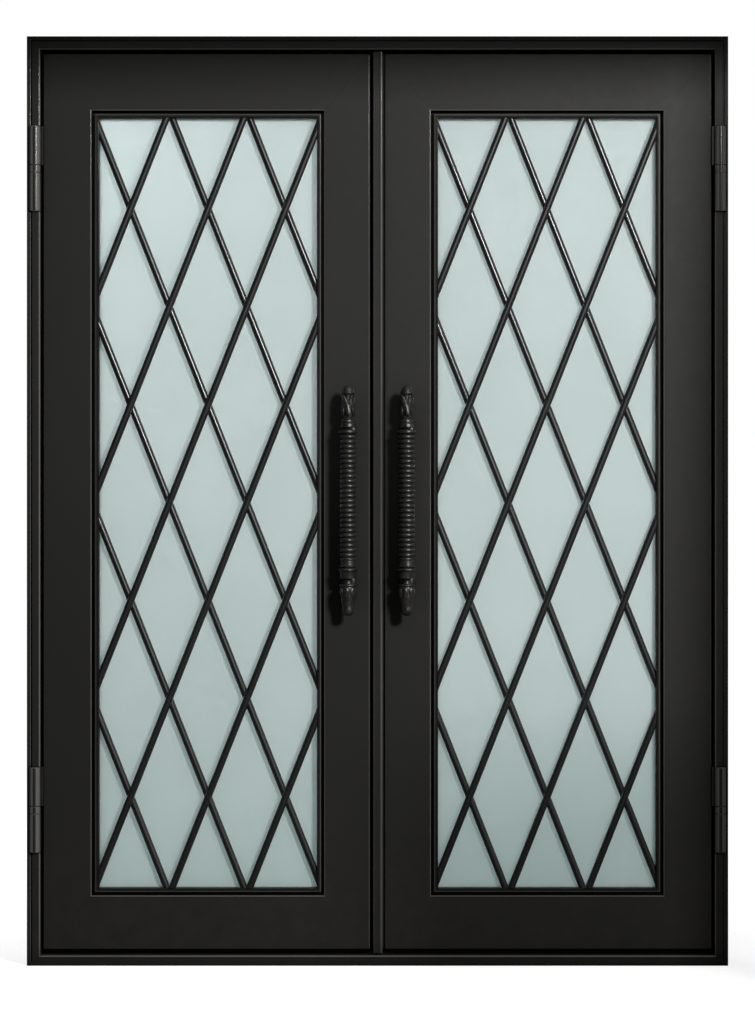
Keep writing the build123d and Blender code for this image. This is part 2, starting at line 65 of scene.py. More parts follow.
# %% Helpers for node networks
def put(tree, kind, sockets=None, **settings):
    """Adds a node; sockets maps an input to a value or to another node's output."""
    node = tree.nodes.new(kind)
    for name, value in settings.items():
        setattr(node, name, value)
    for name, value in (sockets or {}).items():
        if isinstance(value, bpy.types.NodeSocket):
            tree.links.new(value, node.inputs[name])
        else:
            node.inputs[name].default_value = value
    return node


def mixed(tree, factor, first, second):
    """A colour between two others; the sockets of a colour mix go by number."""
    sockets = {0: factor, 6: first, 7: second}
    return put(tree, "ShaderNodeMix", sockets, data_type="RGBA").outputs[2]


def calc(tree, operation, first, second):
    """One step of arithmetic on numbers that change over the surface."""
    return put(tree, "ShaderNodeMath", {0: first, 1: second}, operation=operation).outputs[0]


def spread(tree, value, low, high, to_low=0.0, to_high=1.0):
    """Stretches the part of a value between low and high over a new range."""
    sockets = {"Value": value, "From Min": low, "From Max": high, "To Min": to_low,
               "To Max": to_high}
    return put(tree, "ShaderNodeMapRange", sockets).outputs["Result"]


def noise(tree, where, scale, detail=3.0, roughness=0.5):
    """Cloudy noise, with its scale in bumps per metre."""
    sockets = {"Vector": where, "Scale": scale, "Detail": detail, "Roughness": roughness}
    return put(tree, "ShaderNodeTexNoise", sockets).outputs["Fac"]


def object_place(tree):
    """Each point's own place in metres, which stays with the piece when it moves."""
    return put(tree, "ShaderNodeTexCoord").outputs["Object"]


print("helpers ready")

# %% [markdown]
# ## Node groups
#
# An effect that several finishes share, such as dust, is built once as a node group with named
# inputs and outputs. Each material then places the group with values of its own, so a change to
# the group reaches all of them.

# %% Helpers for node groups
def new_group(name, inputs, outputs):
    """An empty node group with named sockets, and the two nodes at its ends."""
    group = bpy.data.node_groups.new(name, "ShaderNodeTree")
    for label, kind, start in inputs:
        socket = group.interface.new_socket(name=label, in_out="INPUT",
                                            socket_type="NodeSocket" + kind)
        socket.default_value = start
    for label, kind in outputs:
        group.interface.new_socket(name=label, in_out="OUTPUT", socket_type="NodeSocket" + kind)
    return group, put(group, "NodeGroupInput"), put(group, "NodeGroupOutput")


def use_group(tree, group, **values):
    """Places a group in a material, sets its inputs and gives back its outputs."""
    node = put(tree, "ShaderNodeGroup", node_tree=group)
    for name, value in values.items():
        node.inputs[name].default_value = value
    return node.outputs


print("group helpers ready")

# %% [markdown]
# ## Sprayed coat
#
# A sprayed enamel is never a flat colour. It pools into a fine orange peel a few millimetres
# across, the tone drifts from one pass of the gun to the next, and the sheen drifts with it.
# Four scales of noise on object coordinates give all of that, so no picture is needed.

# %% A group for the sprayed coat
peel_scale, speck_scale = 420.0, 2600.0      # bumps per metre
pass_scale, sheen_scale = 2.2, 60.0
speck_height = 0.08
sheen_change, sheen_drift = 0.02, 0.25
sprayed, ends_in, ends_out = new_group(
    "Sprayed coat",
    [("Peel", "Float", 0.4), ("Drift", "Float", 0.3), ("Sheen", "Float", 0.4)],
    [("Height", "Float"), ("Tone", "Float"), ("Roughness", "Float")])
where = object_place(sprayed)
peel = noise(sprayed, where, peel_scale, 2.0)
speck = noise(sprayed, where, speck_scale, 1.0)
passes = noise(sprayed, where, pass_scale, 4.0, 0.55)
height = calc(sprayed, "ADD", calc(sprayed, "MULTIPLY", peel, ends_in.outputs["Peel"]),
              calc(sprayed, "MULTIPLY", speck, speck_height))
drift = calc(sprayed, "MULTIPLY", calc(sprayed, "SUBTRACT", passes, 0.5),
             ends_in.outputs["Drift"])
tone = calc(sprayed, "ADD", drift, 0.5)
fine = spread(sprayed, noise(sprayed, where, sheen_scale), 0.3, 0.7, -sheen_change,
              sheen_change)
sheen = calc(sprayed, "ADD", calc(sprayed, "ADD", ends_in.outputs["Sheen"], fine),
             calc(sprayed, "MULTIPLY", drift, sheen_drift))
for label, value in (("Height", height), ("Tone", tone), ("Roughness", sheen)):
    sprayed.links.new(value, ends_out.inputs[label])
print("group", sprayed.name)

# %% [markdown]
# ## Worn and softened edges
#
# No sheared or welded edge is a perfect knife, and hands and weather thin the coat there first.
# A Bevel node gives the surface direction as if each edge were rounded. Where it differs from
# the true direction there is an edge, which makes a mask for wear, broken up with noise.

# %% A group for edges
edge_starts, edge_full = 0.999, 0.93      # cosine between the rounded and the true direction
patch_scale = 45.0
edged, ends_in, ends_out = new_group(
    "Edge wear", [("Width", "Float", 0.001), ("Amount", "Float", 0.5)],
    [("Mask", "Float"), ("Normal", "Vector")])
rounded = put(edged, "ShaderNodeBevel", {"Radius": ends_in.outputs["Width"]}, samples=4)
true = put(edged, "ShaderNodeNewGeometry").outputs["Normal"]
meet = put(edged, "ShaderNodeVectorMath", {0: rounded.outputs["Normal"], 1: true},
           operation="DOT_PRODUCT").outputs["Value"]
edge = spread(edged, meet, edge_starts, edge_full)
patchy = spread(edged, noise(edged, object_place(edged), patch_scale, 4.0), 0.42, 0.62)
worn = calc(edged, "MULTIPLY", calc(edged, "MULTIPLY", edge, patchy),
            ends_in.outputs["Amount"])
edged.links.new(worn, ends_out.inputs["Mask"])
edged.links.new(rounded.outputs["Normal"], ends_out.inputs["Normal"])
print("group", edged.name)

# %% [markdown]
# ## Settled dust
#
# An outside door gathers a thin film of dust on what faces up, and splashes near the threshold.
# The mask grows with how far a face points upwards, and again below knee height.

# %% A group for dust
ledge_slope, ledge_flat = 0.55, 1.0       # how far a face points upwards
splash_height, splash_share = 0.38, 0.35
dust_scale = 26.0
dusty, ends_in, ends_out = new_group("Settled dust", [("Amount", "Float", 0.3)],
                                     [("Mask", "Float")])
where = object_place(dusty)
facing = put(dusty, "ShaderNodeSeparateXYZ",
             {0: put(dusty, "ShaderNodeNewGeometry").outputs["Normal"]}).outputs["Z"]
ledge = spread(dusty, facing, ledge_slope, ledge_flat)
rise = put(dusty, "ShaderNodeSeparateXYZ", {0: where}).outputs["Z"]
splash = spread(dusty, rise, splash_height, 0.0, 0.0, splash_share)
cloudy = spread(dusty, noise(dusty, where, dust_scale, 5.0, 0.6), 0.35, 0.7)
film = calc(dusty, "MULTIPLY", calc(dusty, "MAXIMUM", ledge, splash), cloudy)
dusty.links.new(calc(dusty, "MULTIPLY", film, ends_in.outputs["Amount"]),
                ends_out.inputs["Mask"])
print("group", dusty.name)

# %% [markdown]
# ## Where the paint changes
#
# The rounded corners of a tube take a paler tone, a painted highlight. Behind the pulls and in
# the recesses, which an Ambient Occlusion node finds, the coat is painted darker as shade and
# made duller. Next to the glass, the surrounds carry a thin black line of sealant and painted
# shade. Each of the three is a mask: a number that says how much of the other tone to mix in.

# %% Masks for painted corner highlights, painted recess shade and a sealant and shade line
bars_low, bars_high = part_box("right_front_bars")
sight_middle = (bars_low + bars_high) / 2
sight_half = (bars_high - bars_low) / 2
line_width, line_softness = 0.0045, 0.0006
flat_side, full_corner = 0.985, 0.94      # the largest part of the normal
shade_reach = 0.07


def painted_corner_highlight(tree):
    """Painted highlight: 1 where a face turns from one flat side of a tube to the next, by its own
    normal.
    """
    normal = put(tree, "ShaderNodeTexCoord").outputs["Normal"]
    size = put(tree, "ShaderNodeVectorMath", {0: normal}, operation="ABSOLUTE").outputs[0]
    parts = put(tree, "ShaderNodeSeparateXYZ", {0: size}).outputs
    most = calc(tree, "MAXIMUM", parts["X"], calc(tree, "MAXIMUM", parts["Y"], parts["Z"]))
    return spread(tree, most, flat_side, full_corner)


def painted_recess_shade(tree):
    """Painted shade: rises to 0.85 in recesses and behind the pulls, which the occlusion finds."""
    space = put(tree, "ShaderNodeAmbientOcclusion", {"Distance": shade_reach},
                samples=8).outputs["AO"]
    return spread(tree, space, 0.95, 0.5, 0.0, 0.85)


def sealant_and_shade_line(tree):
    """1 on a thin black line of sealant and painted shade along the surround's inner edge."""
    place = put(tree, "ShaderNodeSeparateXYZ", {0: object_place(tree)}).outputs
    beside = calc(tree, "SUBTRACT", calc(tree, "ABSOLUTE", place["X"], 0.0), sight_middle.x)
    above = calc(tree, "SUBTRACT", place["Z"], sight_middle.z)
    past_side = calc(tree, "SUBTRACT", calc(tree, "ABSOLUTE", beside, 0.0), sight_half.x)
    past_end = calc(tree, "SUBTRACT", calc(tree, "ABSOLUTE", above, 0.0), sight_half.z)
    past = calc(tree, "MAXIMUM", past_side, past_end)
    return spread(tree, past, line_width, line_width - line_softness)


print("each opening is", round(2 * sight_half.x, 3), "by", round(2 * sight_half.z, 3), "m")

# %% [markdown]
# ## Paint
#
# The tubes and the grille wear the same kind of coat, the grille a little glossier because the
# round bars are sprayed from closer up. One function makes both, from two tones of near-black,
# the tone where the coat has thinned, and the values for the three groups. A coat on the shader
# gives the sharper highlight of the lacquer over the softer one of the paint.

# %% A function for painted steel
dust_tone = (0.12, 0.095, 0.055, 1.0)
# Pale tone painted on rounded corners as a highlight.
corner_highlight_tone = (0.17, 0.166, 0.155, 1.0)
# Near-black tone painted into recesses and round the pulls as shade.
recess_shade_tone = (0.004, 0.0038, 0.0034, 1.0)
# Black of the sealant line, which also paints the shade next to the glass.
sealant_and_shade_tone = (0.002, 0.002, 0.002, 1.0)
edge_width = 0.0012
dull_roughness, line_roughness = 0.3, 0.9


def painted(name, deep, light, thin, roughness, peel=0.4, wear=0.4, dust=0.25, specular=0.3,
            lacquer=0.25, corner_highlight=0.9, lined=False):
    """Steel satin coat with orange peel, thinned edges, dust, lacquer, painted highlight and shade.
    """
    paint = bpy.data.materials.new(name)
    paint.use_nodes = True
    tree = paint.node_tree
    shader = tree.nodes["Principled BSDF"]
    coat = use_group(tree, sprayed, Peel=peel, Drift=0.5, Sheen=roughness)
    edge = use_group(tree, edged, Width=edge_width, Amount=wear)
    film = use_group(tree, dusty, Amount=dust)["Mask"]
    tone = mixed(tree, spread(tree, coat["Tone"], 0.4, 0.6), deep, light)
    tone = mixed(tree, film, mixed(tree, edge["Mask"], tone, thin), dust_tone)
    rough = calc(tree, "ADD", coat["Roughness"], calc(tree, "MULTIPLY", film, dull_roughness))
    if corner_highlight:
        # Painted highlight: rounded corners take a paler tone.
        corner_highlight_mask = calc(tree, "MULTIPLY", painted_corner_highlight(tree), corner_highlight)
        tone = mixed(tree, corner_highlight_mask, tone, corner_highlight_tone)
        # Painted shade: recesses and the leaf round the pulls are darker, and rougher too.
        dull_and_shaded = painted_recess_shade(tree)
        tone = mixed(tree, dull_and_shaded, tone, recess_shade_tone)
        rough = calc(tree, "ADD", rough, calc(tree, "MULTIPLY", dull_and_shaded, dull_roughness))
    if lined:
        # Sealant line next to the glass, black also as painted shade.
        line = sealant_and_shade_line(tree)
        tone = mixed(tree, line, tone, sealant_and_shade_tone)
        rough = calc(tree, "MAXIMUM", rough, calc(tree, "MULTIPLY", line, line_roughness))
    tree.links.new(tone, shader.inputs["Base Color"])
    tree.links.new(rough, shader.inputs["Roughness"])
    bump = put(tree, "ShaderNodeBump", {"Height": coat["Height"], "Distance": 0.0002,
                                        "Strength": 0.35, "Normal": edge["Normal"]})
    tree.links.new(bump.outputs["Normal"], shader.inputs["Normal"])
    shader.inputs["Specular IOR Level"].default_value = specular
    shader.inputs["Coat Weight"].default_value = lacquer
    shader.inputs["Coat Roughness"].default_value = 0.15
    return paint


door_tones = ((0.0112, 0.0107, 0.0094, 1), (0.0132, 0.0129, 0.0117, 1), (0.05, 0.047, 0.043, 1))
grille_tones = ((0.010, 0.0105, 0.0105, 1), (0.014, 0.015, 0.015, 1), (0.04, 0.04, 0.038, 1))
door_paint = painted("Satin door paint", *door_tones, roughness=0.6)
grille_paint = painted("Satin grille paint", *grille_tones, roughness=0.4, peel=0.2, wear=0.2,
                       specular=0.4, lacquer=0.5, corner_highlight=0.0)
lined_paint = painted("Door paint with sealant and shade line", *door_tones, roughness=0.6, lined=True)
print("paints", door_paint.name, grille_paint.name, lined_paint.name)

# %% [markdown]
# ## Blackened iron
#
# The pulls are cast, blackened and rubbed back, so the crests of their ribs and leaves shine
# where hands pass over them, and the blacking stays dull in the grooves and necks. There the
# colour is also taken to near black as painted shade, where an Ambient Occlusion node tells a
# hollow from a crest. Casting sand leaves a fine grain. Small cells from a Voronoi texture give
# the grain, and noise makes the blackening uneven.

# %% Cast iron for the pulls
blacking, rubbed_tone = (0.045, 0.044, 0.042, 1), (0.08, 0.078, 0.075, 1)
crest_tone, hollow_shade_tone = (0.12, 0.117, 0.11, 1), (0.002, 0.002, 0.002, 1)
hollow_reach = 0.007
sand_scale, cloud_scale = 900.0, 75.0
iron = bpy.data.materials.new("Blackened cast iron")
iron.use_nodes = True
tree = iron.node_tree
shader = tree.nodes["Principled BSDF"]
where = object_place(tree)
cells = put(tree, "ShaderNodeTexVoronoi",
            {"Vector": where, "Scale": sand_scale, "Randomness": 1.0},
            feature="SMOOTH_F1").outputs["Distance"]
cloud = noise(tree, where, cloud_scale, 5.0, 0.6)
edge = use_group(tree, edged, Width=0.0015, Amount=0.7)
tone = mixed(tree, spread(tree, cloud, 0.35, 0.65), blacking, rubbed_tone)
tone = mixed(tree, edge["Mask"], tone, crest_tone)
# Hollows: blacking left there, taken to near black as painted shade.
space = put(tree, "ShaderNodeAmbientOcclusion", {"Distance": hollow_reach}, samples=8)
open_to_hands_and_light = spread(tree, space.outputs["AO"], 0.55, 0.9)
tone = mixed(tree, open_to_hands_and_light, hollow_shade_tone, tone)
tree.links.new(tone, shader.inputs["Base Color"])
rubbed = spread(tree, cloud, 0.3, 0.7, 0.27, 0.42)
dull_and_shaded = calc(tree, "MULTIPLY", calc(tree, "SUBTRACT", 1.0, open_to_hands_and_light), 0.5)
tree.links.new(calc(tree, "ADD", rubbed, dull_and_shaded), shader.inputs["Roughness"])
metal = spread(tree, edge["Mask"], 0.0, 1.0, 0.7, 0.85)
tree.links.new(calc(tree, "MULTIPLY", metal, open_to_hands_and_light), shader.inputs["Metallic"])
grain = calc(tree, "ADD", cells, calc(tree, "MULTIPLY", cloud, 1.5))
bump = put(tree, "ShaderNodeBump", {"Height": grain, "Distance": 0.0005, "Strength": 0.3,
                                    "Normal": edge["Normal"]})
tree.links.new(bump.outputs["Normal"], shader.inputs["Normal"])
print("finish", iron.name)

# %% [markdown]
# ## Bare steel, spacer metal, rubber and pile
#
# The small parts keep plainer finishes. Drawn steel has fine lines along its length, so noise is
# stretched along Z. The spacer between the panes is dull grey, the seals are matt rubber with a
# faint bloom, and the brush is a pile whose fibres catch light at a glancing angle, as sheen.

# %% Finishes for the small parts
def small_finish(name, first, second, scale, stretch, roughness, metallic=0.0, depth=0.0001):
    """Two tones mixed by noise that can be drawn out along Z, with a matching bump."""
    finish = bpy.data.materials.new(name)
    finish.use_nodes = True
    tree = finish.node_tree
    shader = tree.nodes["Principled BSDF"]
    drawn = put(tree, "ShaderNodeMapping", {"Vector": object_place(tree),
                                            "Scale": (1.0, 1.0, stretch)}).outputs["Vector"]
    lines = noise(tree, drawn, scale, 4.0, 0.6)
    tone = mixed(tree, spread(tree, lines, 0.35, 0.65), first, second)
    tree.links.new(tone, shader.inputs["Base Color"])
    low, high = roughness
    tree.links.new(spread(tree, lines, 0.3, 0.7, low, high), shader.inputs["Roughness"])
    bump = put(tree, "ShaderNodeBump", {"Height": lines, "Distance": depth, "Strength": 0.4})
    tree.links.new(bump.outputs["Normal"], shader.inputs["Normal"])
    shader.inputs["Metallic"].default_value = metallic
    return finish


bare_steel = small_finish("Drawn steel", (0.34, 0.33, 0.32, 1), (0.5, 0.5, 0.49, 1),
                          scale=700.0, stretch=0.05, roughness=(0.28, 0.42), metallic=1.0)
spacer_metal = small_finish("Spacer metal", (0.13, 0.14, 0.14, 1), (0.18, 0.19, 0.19, 1),
                            scale=300.0, stretch=1.0, roughness=(0.4, 0.55), metallic=0.8)
rubber = small_finish("Seal rubber", (0.012, 0.012, 0.012, 1), (0.024, 0.023, 0.022, 1),
                      scale=240.0, stretch=1.0, roughness=(0.62, 0.8))
pile = small_finish("Brush pile", (0.006, 0.006, 0.006, 1), (0.012, 0.012, 0.012, 1),
                    scale=1800.0, stretch=4.0, roughness=(0.85, 0.95), depth=0.001)
pile.node_tree.nodes["Principled BSDF"].inputs["Sheen Weight"].default_value = 0.1
print("four small finishes")

# %% [markdown]
# ## Frosted glass
#
# The outer pane is etched, so it scatters what comes through it and glows softly by itself in
# light from the front. It has a faint sea-green body. The inner pane is plain float glass with
# the same tint, which is greener along its cut edges.

# %% Two kinds of glass
def glass(name, first, second, roughness, through, depth):
    """Tinted glass with a slow drift of tint; through is how much passes straight on."""
    pane = bpy.data.materials.new(name)
    pane.use_nodes = True
    tree = pane.node_tree
    shader = tree.nodes["Principled BSDF"]
    where = object_place(tree)
    drift = spread(tree, noise(tree, where, 3.5, 2.0), 0.35, 0.65)
    tree.links.new(mixed(tree, drift, first, second), shader.inputs["Base Color"])
    bump = put(tree, "ShaderNodeBump", {"Height": noise(tree, where, 900.0, 2.0),
                                        "Distance": depth, "Strength": 0.3})
    tree.links.new(bump.outputs["Normal"], shader.inputs["Normal"])
    shader.inputs["Roughness"].default_value = roughness
    shader.inputs["Transmission Weight"].default_value = through
    shader.inputs["IOR"].default_value = 1.5
    return pane


frosted = glass("Frosted glass", (0.70, 0.775, 0.77, 1), (0.73, 0.80, 0.80, 1),
                roughness=0.6, through=0.7, depth=0.0001)
clear = glass("Clear glass", (0.88, 0.95, 0.94, 1), (0.90, 0.96, 0.955, 1),
              roughness=0.04, through=1.0, depth=0.00001)
print("glass", frosted.name, clear.name)

# %% [markdown]
# ## Give each solid its finish
#
# The imported solids are right in shape, so most of them only need their finish. The record names
# a slot for each solid, and a slot has one finish here, apart from the two kinds of glass, the
# sealant line round them, which also paints shade there, and the strike of the catch, which is
# sprayed with the head it sits in.

# %% Put the finishes on the solids
finish_of = {"door_paint": door_paint, "grille_paint": grille_paint, "pull_iron": iron,
             "bare_steel": bare_steel, "frosted_glass": frosted, "spacer_metal": spacer_metal,
             "seal_rubber": rubber, "seal_pile": pile}
for row in frame["record"]["subparts"]:
    solid = nodes[row["node"]]
    solid.material_slots[0].material = finish_of[row["material_slot"]]
for side in ("left", "right"):
    nodes[side + "_inner_pane"].material_slots[0].material = clear
    nodes[side + "_grille_surround"].material_slots[0].material = lined_paint
    nodes[side + "_glazing_stop"].material_slots[0].material = lined_paint
nodes["catch_strike"].material_slots[0].material = door_paint

# %% [markdown]
# ## Turning a piece, ring by ring
#
# The pulls are built up from turned pieces threaded on a rod. A lathe cuts a profile, and here
# the same is done in edit mode: a disc is added, then extruded and resized once for each point of
# the profile. Without the disc's face the result is an open tube, which can be stacked.

# %% A helper that turns a profile
def deselect():
    """Leaves edit mode and selects nothing."""
    if bpy.context.object and bpy.context.object.mode != "OBJECT":
        bpy.ops.object.mode_set(mode="OBJECT")
    bpy.ops.object.select_all(action="DESELECT")


def turned(name, stations, sides, closed=True):
    """A piece turned round Z through (radius, height) stations, in metres."""
    deselect()
    radius, height = stations[0]
    bpy.ops.mesh.primitive_circle_add(vertices=sides, radius=radius,
                                      fill_type="NGON" if closed else "NOTHING",
                                      location=(0, 0, height))
    piece = bpy.context.object
    piece.name = name
    bpy.ops.object.mode_set(mode="EDIT")
    for next_radius, next_height in stations[1:]:
        rise = next_height - height
        grow = next_radius / radius
        bpy.ops.mesh.extrude_region_move(TRANSFORM_OT_translate={"value": (0, 0, rise)})
        bpy.ops.transform.resize(value=(grow, grow, 1), center_override=(0, 0, next_height))
        radius, height = next_radius, next_height
    bpy.ops.mesh.select_all(action="SELECT")
    bpy.ops.mesh.normals_make_consistent(inside=False)
    bpy.ops.object.mode_set(mode="OBJECT")
    bpy.ops.object.transform_apply(location=True)
    return piece


def apply_modifier(piece, kind, **settings):
    """Adds a modifier, sets it up and applies it."""
    deselect()
    piece.select_set(True)
    bpy.context.view_layer.objects.active = piece
    modifier = piece.modifiers.new(kind.title(), kind)
    for name, value in settings.items():
        setattr(modifier, name, value)
    bpy.ops.object.modifier_apply(modifier=modifier.name)


print("lathe ready")

# %% [markdown]
# ## The ribbed grip
#
# The grip is a stack of rounded beads with deep grooves between them, about eleven millimetres
# from one to the next. One bead is turned as an open tube, and an Array modifier stacks it and
# welds the seams, because every bead is the same.

# %% Turn one bead and stack it
mm = 0.001
grip_start, pitch, bead_count = 129.0 * mm, 10.9 * mm, 25
groove, crest = 14.4 * mm, 18.5 * mm
bead_steps, sides = 8, 40
land = 0.1                                # the flat share of the pitch at each end of a bead
fullness = 0.7                            # below 1, the crest is fuller than a half round
bead = [(groove, grip_start), (groove, grip_start + land * pitch)]
for step in range(1, bead_steps):
    angle = math.pi * step / bead_steps
    out = groove + (crest - groove) * math.sin(angle) ** fullness
    bead.append((out, grip_start + pitch * (0.5 - (0.5 - land) * math.cos(angle))))
bead += [(groove, grip_start + (1 - land) * pitch), (groove, grip_start + pitch)]
grip = turned("grip", bead, sides, closed=False)
apply_modifier(grip, "ARRAY", count=bead_count, use_relative_offset=False,
               use_constant_offset=True, constant_offset_displace=(0, 0, pitch),
               use_merge_vertices=True, merge_threshold=0.0001)
bpy.ops.object.mode_set(mode="EDIT")
bpy.ops.mesh.select_all(action="SELECT")
bpy.ops.mesh.fill_holes(sides=0)
bpy.ops.mesh.select_all(action="SELECT")
bpy.ops.mesh.normals_make_consistent(inside=False)
bpy.ops.object.mode_set(mode="OBJECT")
print("grip with", bead_count, "beads,", len(grip.data.polygons), "faces")

# %% [markdown]
# ## The two ends
#
# Below the grip are a waist, a collar with a flange, a neck and a bud that tapers to a ball.
# Above it are a wide ring, a neck, a flare in two steps, a bud and a domed cap. All of these are
# round, so each end is one piece from the lathe, in millimetres from the lower tip.

# %% Turn the two ends
def stations_mm(*pairs):
    """Radius and height pairs given in millimetres."""
    return [(radius * mm, height * mm) for radius, height in pairs]


lower_end = turned("lower_end", stations_mm(
    (1, 0), (5.5, 0.6), (9.5, 3), (12, 7), (12.8, 11.5), (12.6, 16), (12.4, 20), (13, 24),
    (14.2, 28), (15.6, 35), (16.2, 44), (16.6, 52), (17, 59), (17.2, 62.5), (16.6, 64),
    (17.6, 64.3), (19.2, 65.6), (19.6, 67), (19, 68.8), (17, 69.8), (8.6, 70), (8, 71), (8, 81),
    (8.4, 82), (17.2, 82.2), (18, 83), (18, 98), (18.4, 98.8), (21, 99.4), (22, 100.6),
    (22, 102.4), (21.2, 103.6), (18.5, 104.2), (15.4, 104.6), (15.2, 107.6), (18.6, 108.2),
    (19.4, 109.4), (18.4, 110.8), (16.8, 111.4), (16.4, 116), (16.2, 122.4), (17.6, 123.6),
    (18.2, 125.4), (17.6, 127.2), (15, 128.2), (14.6, 129.4), (5, 130)), sides)
upper_end = turned("upper_end", stations_mm(
    (5, 400.5), (14.6, 401), (15, 402), (17.2, 402.6), (20.2, 404.2), (21.2, 407), (20.2, 409.8),
    (17.5, 411.2), (8.6, 411.6), (8, 412.4), (8, 415.6), (8.6, 416.4), (15.2, 416.6),
    (16.2, 417.6), (16.2, 422), (15.6, 424.6), (14.4, 425.4), (14.9, 426.6), (15, 431),
    (14.4, 433.4), (12.4, 434.6), (10.2, 435.4), (9.4, 437), (10.6, 438.6), (11.2, 440.2),
    (10.2, 442), (10.2, 446), (11, 452), (12, 460), (12.4, 468), (12, 476), (11, 483),
    (10.4, 487.6), (11, 489.4), (13.6, 490.4), (14.6, 492.4), (14.4, 494.6), (13.2, 495.6),
    (12.8, 497), (11.9, 500.5), (9.8, 504.6), (6.6, 508), (3, 510), (0.8, 510.5)), sides)
print("ends turned with", sides, "sides")

# %% [markdown]
# ## One carved leaf
#
# Both buds wear carved leaves. One leaf starts as a ball, is flattened, drawn to a point at its
# tip, curled outwards at the end and given a raised rib down its middle. Each of these moves acts
# on the points in one part of the leaf, so a helper opens a piece with those points selected.

# %% Carve one leaf
def pick(piece, chosen):
    """Opens the piece in edit mode with the points chosen by their place selected."""
    deselect()
    piece.select_set(True)
    bpy.context.view_layer.objects.active = piece
    for group in (piece.data.vertices, piece.data.edges, piece.data.polygons):
        for part in group:
            part.select = False
    for point in piece.data.vertices:
        point.select = chosen(point.co)
    bpy.ops.object.mode_set(mode="EDIT")


def carved_leaf(width, thickness, length, rib, curl):
    """A leaf that stands along Z with its back towards +Y, centred on the origin."""
    deselect()
    bpy.ops.mesh.primitive_uv_sphere_add(segments=12, ring_count=10, radius=0.5)
    leaf = bpy.context.object
    bpy.ops.object.mode_set(mode="EDIT")
    bpy.ops.transform.resize(value=(width, thickness, length), center_override=(0, 0, 0))
    bpy.ops.object.mode_set(mode="OBJECT")
    for start, narrower, outwards in ((0.1, 0.8, 0.0), (0.3, 0.72, curl)):
        pick(leaf, lambda place: place.z > start * length)
        bpy.ops.transform.resize(value=(narrower, 1, 1), center_override=(0, 0, 0))
        bpy.ops.transform.translate(value=(0, -outwards, 0))
        bpy.ops.object.mode_set(mode="OBJECT")
    pick(leaf, lambda place: abs(place.x) < 0.02 * width and place.y < 0
         and abs(place.z) < 0.42 * length)
    bpy.ops.transform.translate(value=(0, -rib, 0))
    bpy.ops.object.mode_set(mode="OBJECT")
    apply_modifier(leaf, "SUBSURF", levels=1, render_levels=1)
    return leaf


long_leaf = carved_leaf(width=15 * mm, thickness=6 * mm, length=34 * mm, rib=1.2 * mm,
                        curl=1.6 * mm)
short_leaf = carved_leaf(width=14 * mm, thickness=5 * mm, length=24 * mm, rib=1.0 * mm,
                         curl=1.4 * mm)
print("a leaf has", len(long_leaf.data.polygons), "faces")

# %% [markdown]
# ## Rings of leaves
#
# Copies of the leaf lean against the turned core in rings. On the upper bud the second ring is
# turned half a step from the first, as leaves grow, and a small roll makes them wind round the
# bud. The lower bud has one ring of shorter leaves that hang upside down.

# %% Set the leaves round the buds
def set_leaves(leaf, count, radius, height, lean, roll, start, upside_down=False):
    """A ring of leaves round the rod; angles are in degrees."""
    ring = []
    for number in range(count):
        copy = leaf.copy()
        copy.data = leaf.data.copy()
        bpy.context.collection.objects.link(copy)
        pick(copy, lambda place: True)
        turn = math.radians(180) if upside_down else 0.0
        for value, axis in ((turn + math.radians(roll), "Y"), (math.radians(lean), "X")):
            bpy.ops.transform.rotate(value=value, orient_axis=axis, center_override=(0, 0, 0))
        bpy.ops.transform.translate(value=(0, -radius, height))
        bpy.ops.transform.rotate(value=math.tau * (number + start) / count, orient_axis="Z",
                                 center_override=(0, 0, 0))
        bpy.ops.object.mode_set(mode="OBJECT")
        ring.append(copy)
    return ring


leaves = set_leaves(long_leaf, count=5, radius=12.0 * mm, height=457 * mm, lean=3, roll=9,
                    start=0.0)
leaves += set_leaves(long_leaf, count=5, radius=12.2 * mm, height=472 * mm, lean=-4, roll=9,
                     start=0.5)
leaves += set_leaves(short_leaf, count=7, radius=16.4 * mm, height=51 * mm, lean=-5, roll=0,
                     start=0.25, upside_down=True)
for model in (long_leaf, short_leaf):
    bpy.data.objects.remove(model)
print(len(leaves), "leaves")

# %% [markdown]
# ## Posts and roses
#
# At each neck a post runs back to a round rose on the leaf of the door. The posts come off the
# same lathe helper, turned upright and then laid over with a rotation.

# %% Turn the posts
standoff = 52.0 * mm
post_middles = (76.0 * mm, 414.0 * mm)
posts = []
for number, middle in enumerate(post_middles):
    post = turned(f"post_{number}", stations_mm(
        (4, 0), (7, 1), (7, 43.5), (7.6, 46.5), (9, 47.8), (13.6, 48), (14.7, 48.6), (15, 49.8),
        (15, 52), (4, 52)), sides)
    pick(post, lambda place: True)
    bpy.ops.transform.rotate(value=math.radians(90), orient_axis="X", center_override=(0, 0, 0))
    bpy.ops.transform.translate(value=(0, 0, middle))
    bpy.ops.object.mode_set(mode="OBJECT")
    print(post.name, "reaches from", round(min(point.co.y for point in post.data.vertices), 4),
          "to", round(max(point.co.y for point in post.data.vertices), 4))
    posts.append(post)

# %% [markdown]
# ## One pull, four times
#
# The parts are joined into one pull that stands on its lower tip at the origin, with its posts
# towards +Y. Each place gets a copy with a mesh of its own, and the pulls inside the room are
# turned half round. The piece takes the place of the plain solid, which is hidden. The piece
# replaces the plain solid, which stays for collision.

